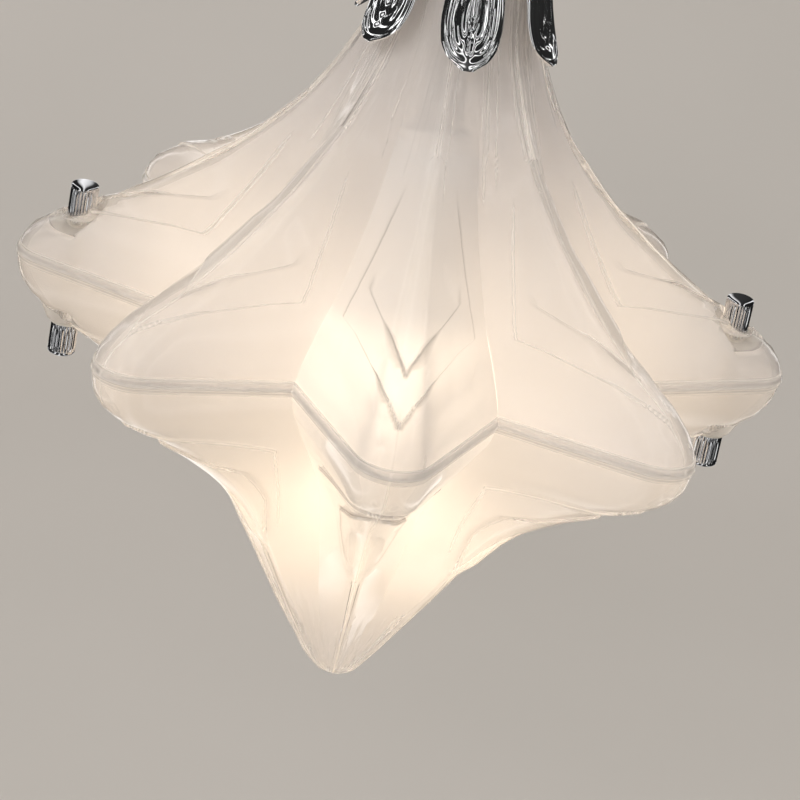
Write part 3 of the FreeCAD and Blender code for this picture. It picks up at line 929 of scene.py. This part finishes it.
def pressed_face(name, tint, milk_tint, milk_share):
    """The fire-polished outside: clear glass with a little milk, painted highlights in milky white
    on the ridges, relief edges, streaks and rim, and painted grey shade beside the leaves and on
    the rim band."""
    n = material_nodes(name)
    glass = n.add("ShaderNodeBsdfPrincipled", Roughness=0.05, IOR=GLASS_IOR, Base_Color=(*tint, 1),
                  Transmission_Weight=1.0)
    n.link(n.bump(n.noise(34, 4), 0.0006, 0.3), glass.inputs["Normal"])
    milk = n.milk(n.tinted(n.noise(55, 3), milk_tint, 0.95), 0.45)
    # Painted highlight: milky white where the line mark is high.
    share = n.math("MAXIMUM", n.mark("line", 0.75), milk_share)
    face = n.mixed(share, glass.outputs[0], milk)
    # Painted shade: grey beside the leaves, strongest on the front point.
    grey = n.add("ShaderNodeBsdfDiffuse", Color=(*PAINTED_SHADE_GREY, 1))
    face = n.mixed(n.mark("painted_shade", 0.42), face, grey.outputs[0])
    # Painted shade: grey on the rim band, standing in for the dark seen through its clear glass.
    band = n.add("ShaderNodeBsdfDiffuse", Color=(*BAND_SHADE_GREY, 1))
    face = n.mixed(n.mark("band", 0.3), face, band.outputs[0])
    return n.finish(n.unshadowed(face, (0.97, 0.96, 0.95)))


def frosted_face(name, tint, back, blur_share, roughness):
    """The etched inside: scatters the bulb's light and blurs what is behind it. Where it turns
    clear, painted grey shade and a nearly unbent view through it take its place."""
    n = material_nodes(name)
    milk = n.milk(n.tinted(n.noise(16, 4, 0.6), tint, 0.965), back)
    blur = n.add("ShaderNodeBsdfRefraction", Roughness=roughness, IOR=GLASS_IOR, Color=(*tint, 1))
    face = n.mixed(blur_share, milk, blur.outputs[0])
    # Painted shade: grey where the inside turns clear, at the neck and at the points' ends.
    clear_shade = n.add("ShaderNodeBsdfDiffuse", Color=(*CLEAR_SHADE_GREY, 1))
    face = n.mixed(n.mark("clear", 0.5), face, clear_shade.outputs[0])
    sheer = n.add("ShaderNodeBsdfRefraction", Roughness=0.18, IOR=1.02, Color=(*SHEER_TINT, 1))
    face = n.mixed(n.mark("clear", 0.36), face, sheer.outputs[0])
    return n.finish(n.unshadowed(face, (0.9, 0.89, 0.88)))


def metal(name, colour, roughness, scale, bump_distance):
    n = material_nodes(name)
    shader = n.add("ShaderNodeBsdfPrincipled", Metallic=1.0)
    cloud = n.noise(scale, 4, 0.6)
    rough = n.ramp(cloud, [(0.35, (roughness * 0.7,) * 3), (0.75, (roughness * 1.5,) * 3)])
    n.link(n.tinted(cloud, colour, 0.92), shader.inputs["Base Color"])
    n.link(rough, shader.inputs["Roughness"])
    n.link(n.bump(cloud, bump_distance), shader.inputs["Normal"])
    return n.finish(shader.outputs[0])


def plastic(name, colour, roughness):
    n = material_nodes(name)
    shader = n.add("ShaderNodeBsdfPrincipled", Roughness=roughness)
    cloud = n.noise(300, 3)
    n.link(n.tinted(cloud, colour, 0.93), shader.inputs["Base Color"])
    n.link(n.bump(cloud, 0.00008), shader.inputs["Normal"])
    return n.finish(shader.outputs[0])


def milky_plastic(name):
    """The clear-white sleeves and washers round the studs."""
    n = material_nodes(name)
    cloud = n.noise(200, 3)
    tint = n.ramp(cloud, [(0.3, (0.86, 0.82, 0.75)), (0.7, (0.93, 0.9, 0.85))])
    shader = n.add("ShaderNodeBsdfPrincipled", Roughness=0.18, IOR=1.4, Transmission_Weight=0.35)
    n.link(tint, shader.inputs["Base Color"])
    n.link(n.bump(cloud, 0.00005), shader.inputs["Normal"])
    glow = n.add("ShaderNodeBsdfTranslucent")
    n.link(tint, glow.inputs["Color"])
    return n.finish(n.mixed(0.35, shader.outputs[0], glow.outputs[0]))


def lit_opal(name, colour, strength):
    """The bulb's opal globe."""
    n = material_nodes(name)
    shader = n.add("ShaderNodeBsdfPrincipled", Roughness=0.4, Emission_Strength=strength)
    cloud = n.noise(40, 2)
    paint = n.ramp(cloud, [(0.2, (0.92, 0.9, 0.87)), (0.8, (0.95, 0.93, 0.9))])
    n.link(paint, shader.inputs["Base Color"])
    n.link(n.tinted(cloud, colour, 0.97, 0.2, 0.8), shader.inputs["Emission Color"])
    return n.finish(shader.outputs[0])


# --- build ----------------------------------------------------------------------------------------

shade_outside = pressed_face("shade_outside", (0.99, 0.985, 0.98), (0.97, 0.93, 0.88), 0.12)
shade_inside = frosted_face("shade_inside", (0.93, 0.895, 0.865), 0.45, 0.34, 0.5)
bowl_outside = pressed_face("bowl_outside", (0.99, 0.98, 0.965), (0.97, 0.925, 0.865), 0.2)
bowl_inside = frosted_face("bowl_inside", (0.96, 0.915, 0.87), 0.45, 0.16, 0.7)

upper = shell(UPPER, [shade_outside, shade_inside])
lower = shell(LOWER, [bowl_outside, bowl_inside])
seat_clamps(upper, UPPER)
seat_clamps(lower, LOWER)

chrome = metal("chrome", (0.6, 0.6, 0.61), 0.05, 60, 0.00003)
# A lighter copy of chrome for the crown: painted brightness standing in for its stronger
# reflections.
crown_chrome_painted_bright = metal("crown_chrome_painted_bright", (0.97, 0.97, 0.97), 0.1, 60, 0.00003)
zinc = metal("zinc", (0.6, 0.6, 0.6), 0.28, 400, 0.0001)
brass = metal("brass", (0.78, 0.58, 0.28), 0.25, 200, 0.00006)
solder = metal("solder", (0.7, 0.7, 0.7), 0.35, 500, 0.0001)
cap_metal = metal("bulb_cap_metal", (0.75, 0.75, 0.76), 0.2, 300, 0.00005)
rubber = plastic("rubber", (0.06, 0.06, 0.06), 0.7)
holder_white = plastic("holder_white", (0.85, 0.83, 0.8), 0.45)
glaze = plastic("insert_glaze", (0.9, 0.89, 0.86), 0.2)
black_glass = plastic("black_glass", (0.02, 0.02, 0.025), 0.1)
bulb_white = plastic("bulb_white", (0.9, 0.89, 0.87), 0.3)
sleeve_plastic = milky_plastic("sleeve_plastic")
opal = lit_opal("opal", (1.0, 0.85, 0.64), 1.7)

NODE_MATERIALS = [
    (zinc, ("clamp_studs", "stem_tube", "spreader_disc", "inner_nut")),
    (sleeve_plastic, ("upper_sleeves", "lower_sleeves", "top_washers", "bottom_washers")),
    (chrome, ("top_nut_left", "top_nut_right", "bottom_nut_left", "bottom_nut_right",
              "leaf_crown", "crown_nut")),
    (rubber, ("upper_gasket", "lower_gasket")),
    (holder_white, ("holder_cap", "holder_skirt")),
    (glaze, ("holder_insert",)),
    (brass, ("holder_screw_shell", "holder_contact", "terminal_screws")),
    (solder, ("bulb_contact",)),
    (black_glass, ("bulb_insulator",)),
    (cap_metal, ("bulb_screw_shell",)),
    (bulb_white, ("bulb_body",)),
    (opal, ("bulb_diffuser",)),
]
for material, nodes in NODE_MATERIALS:
    for node in nodes:
        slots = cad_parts[node].data.materials
        slots.clear()
        slots.append(material)
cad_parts["bulb_diffuser"].visible_shadow = False

pieces = [
    (upper, "root", "upper_glass", "frosted_glass"),
    (lower, "bowl", "lower_glass", "bowl_glass"),
    (leaf_crown(crown_chrome_painted_bright), "root", "leaf_crown", "chrome"),
]
for level, glass in (("top", UPPER), ("bottom", LOWER)):
    seat_level = glass.direction * (glass.seat + glass.washer)
    for side, x in (("left", -CLAMP_RADIUS), ("right", CLAMP_RADIUS)):
        nut = clamp_nut(f"nut_{level}_{side}", x, seat_level, glass.direction, chrome)
        pieces.append((nut, f"{level}_nut_{side}", f"{level}_nut_{side}", "chrome"))
for piece, body, node, slot in pieces:
    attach(piece, body)
    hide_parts(node)


# --- stage, camera, light -------------------------------------------------------------------------

BULB_WATTS = 0.152
BULB_COLOUR = (1.0, 0.86, 0.68)
BULB_LIGHT_RADIUS = 0.024
BULB_DROP = 0.018
FLOOR_DROP = 1.1
FLOOR_FRONT = -3.0
FLOOR_BACK = 2.2
CURVE_RADIUS = 1.2
CURVE_STEPS = 12
BACKDROP_HEIGHT = 4.5
STAGE_HALF_WIDTH = 5.0
EVEN_LIGHT = (1.0, 0.98, 0.96)
EVEN_STRENGTH = 0.62
# The room that metal mirrors, from the left of the row frame to the right: place, brightness.
ROOM_STOPS = [(0.0, 0.015), (0.17, 0.02), (0.22, 2.2), (0.27, 0.02), (0.41, 0.03), (0.46, 1.5),
              (0.53, 0.06), (0.7, 0.02), (0.74, 2.2), (0.78, 0.02), (1.0, 0.015)]
# Place, size, power and colour of each area light. All aim at the middle of the rim plane.
AREA_LIGHTS = {
    "key": ((-1.6, -1.4, 1.6), (1.2, 1.2), 26, (1.0, 0.98, 0.96)),
    "strip": ((1.9, -0.2, 0.8), (0.3, 1.6), 8, (1.0, 1.0, 1.0)),
}


def camera_axes():
    a, e = CAMERA_AZIMUTH, CAMERA_ELEVATION
    back = Vector((math.sin(a) * math.cos(e), -math.cos(a) * math.cos(e), math.sin(e)))
    right = Vector((math.cos(a), math.sin(a), 0))
    up = back.cross(right)
    tilted_right = right * math.cos(CAMERA_ROLL) + up * math.sin(CAMERA_ROLL)
    tilted_up = up * math.cos(CAMERA_ROLL) - right * math.sin(CAMERA_ROLL)
    return tilted_right, tilted_up, back


def add_camera():
    """Looks straight along the fitted axis, with the lens shifted to put the rim where it was."""
    right, up, back = camera_axes()
    data = bpy.data.cameras.new("camera")
    data.sensor_width = SENSOR
    data.lens = FOCAL_PIXELS / IMAGE_SIZE * SENSOR
    data.shift_x = (IMAGE_SIZE / 2 - RIM_CENTRE_PIXEL[0]) / IMAGE_SIZE
    data.shift_y = (RIM_CENTRE_PIXEL[1] - IMAGE_SIZE / 2) / IMAGE_SIZE
    data.clip_end = 50
    camera = bpy.data.objects.new("camera", data)
    rotation = Matrix((right, up, back)).transposed().to_4x4()
    place = back * CAMERA_DISTANCE + Vector((0, 0, RIM_Z))
    camera.matrix_world = Matrix.Translation(place) @ rotation
    bpy.context.scene.collection.objects.link(camera)
    bpy.context.scene.camera = camera


def area_light(name, place, size, power, colour):
    data = bpy.data.lights.new(name, "AREA")
    data.shape = "RECTANGLE"
    data.size, data.size_y = size
    data.energy = power
    data.color = colour
    light = bpy.data.objects.new(name, data)
    light.location = place
    aim = Vector((0, 0, RIM_Z)) - Vector(place)
    light.rotation_euler = aim.to_track_quat("-Z", "Y").to_euler()
    light.visible_glossy = False
    bpy.context.scene.collection.objects.link(light)


def bulb_light():
    """The lamp's light, a little under the middle of the opal globe. It lights the glass, and isn't
    itself seen through it."""
    low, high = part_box("bulb_diffuser")
    data = bpy.data.lights.new("bulb_light", "POINT")
    data.energy = BULB_WATTS
    data.color = BULB_COLOUR
    data.shadow_soft_size = BULB_LIGHT_RADIUS
    light = bpy.data.objects.new("bulb_light", data)
    light.location = (0, 0, (low[2] + high[2]) / 2 - BULB_DROP)
    light.visible_camera = False
    light.visible_glossy = False
    light.visible_transmission = False
    bpy.context.scene.collection.objects.link(light)


def add_stage():
    """A pale floor that curves up into a backdrop."""
    floor_z = RIM_Z - FLOOR_DROP
    profile = [(FLOOR_FRONT, 0.0), (FLOOR_BACK, 0.0)]
    for k in range(1, CURVE_STEPS + 1):
        angle = math.pi / 2 * k / CURVE_STEPS
        profile.append((FLOOR_BACK + CURVE_RADIUS * math.sin(angle),
                        CURVE_RADIUS * (1 - math.cos(angle))))
    profile.append((FLOOR_BACK + CURVE_RADIUS, BACKDROP_HEIGHT))
    vertices = []
    for x in (-STAGE_HALF_WIDTH, STAGE_HALF_WIDTH):
        vertices += [(x, y, floor_z + z) for y, z in profile]
    count = len(profile)
    faces = [(k, k + 1, count + k + 1, count + k) for k in range(count - 1)]
    mesh = bpy.data.meshes.new("floor")
    mesh.from_pydata(vertices, [], faces)
    mesh.polygons.foreach_set("use_smooth", np.ones(len(faces), bool))
    n = material_nodes("floor_paint")
    shader = n.add("ShaderNodeBsdfPrincipled", Roughness=0.9)
    tint = n.ramp(n.noise(1.2, 2), [(0.3, (0.68, 0.645, 0.6)), (0.7, (0.73, 0.69, 0.645))])
    n.link(tint, shader.inputs["Base Color"])
    mesh.materials.append(n.finish(shader.outputs[0]))
    floor = bpy.data.objects.new("floor", mesh)
    bpy.context.scene.collection.objects.link(floor)
    floor.visible_glossy = False


def add_world():
    """Even light on everything, and a room with dark sides for what mirrors it."""
    n = Nodes(bpy.data.worlds.new("studio"), "ShaderNodeOutputWorld")
    even = n.add("ShaderNodeBackground", Color=(*EVEN_LIGHT, 1), Strength=EVEN_STRENGTH)
    place = n.add("ShaderNodeTexCoord")
    split = n.add("ShaderNodeSeparateXYZ")
    n.link(place.outputs["Generated"], split.inputs[0])
    across = n.math("MULTIPLY_ADD", split.outputs["X"], 0.5, 0.5)
    room = n.add("ShaderNodeBackground")
    stops = [(position, (value,) * 3) for position, value in ROOM_STOPS]
    n.link(n.ramp(across, stops), room.inputs["Color"])
    path = n.add("ShaderNodeLightPath")
    light = n.mixed(path.outputs["Is Glossy Ray"], even.outputs[0], room.outputs[0])
    bpy.context.scene.world = n.finish(light)


add_camera()
add_stage()
add_world()
bulb_light()
for name, (place, size, power, colour) in AREA_LIGHTS.items():
    area_light(name, place, size, power, colour)
bpy.context.scene.view_settings.view_transform = "Standard"
